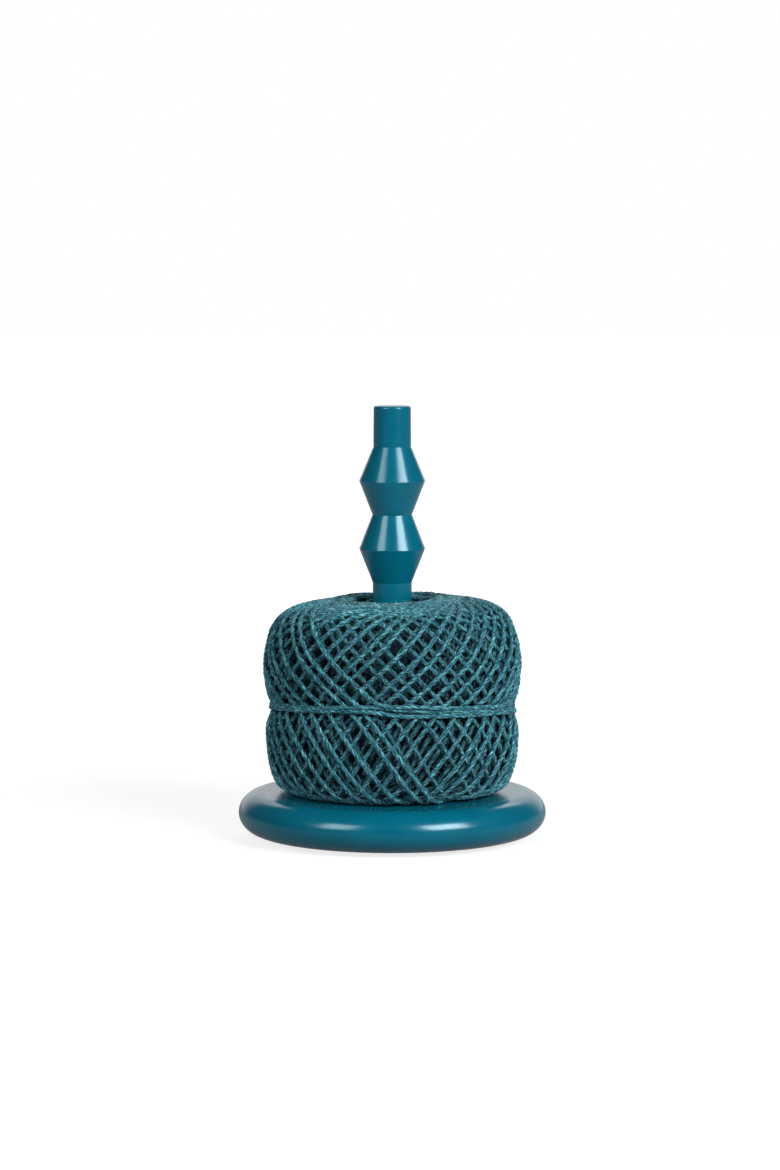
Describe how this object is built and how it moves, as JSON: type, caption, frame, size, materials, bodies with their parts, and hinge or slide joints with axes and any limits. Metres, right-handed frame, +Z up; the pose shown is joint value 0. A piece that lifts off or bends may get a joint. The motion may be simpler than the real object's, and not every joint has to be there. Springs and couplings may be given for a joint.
{
  "type": "yarn ball holder",
  "caption": "Turned wooden holder with a disc base and a ridged upright spindle, carrying a cross-wound ball of twine that turns and lifts off.",
  "frame": {"origin": "on the surface that the holder stands on, under the middle of the base", "axes": "+Z up along the spindle, +Y away from the viewer of the picture, +X to the viewer's right"},
  "size_m": [0.12, 0.12, 0.168],
  "materials": {
    "lacquered_wood": "gloss petrol-blue lacquer",
    "screw_steel": "zinc-plated",
    "felt": "pressed felt",
    "core_paper": "plain kraft paper",
    "jute_twine": "dyed three-ply jute"
  },
  "bodies": {
    "holder": {"base_disc": "lacquered_wood", "spindle": "lacquered_wood", "fixing_screw": "screw_steel", "felt_pad_1": "felt", "felt_pad_2": "felt", "felt_pad_3": "felt", "felt_pad_4": "felt"},
    "core": {"paper_core": "core_paper"},
    "twine_ball": {"twine_inner_winding": "jute_twine", "twine_outer_winding": "jute_twine", "twine_waist_wrap": "jute_twine"}
  },
  "joints": [
    {"name": "ball_lift", "type": "slide", "parent": "holder", "child": "core", "axis": [0, 0, 1], "range_m": [0, 0.155]},
    {"name": "ball_spin", "type": "hinge", "parent": "core", "child": "twine_ball", "pos_m": [0, 0, 0.055], "axis": [0, 0, 1], "continuous": true}
  ]
}
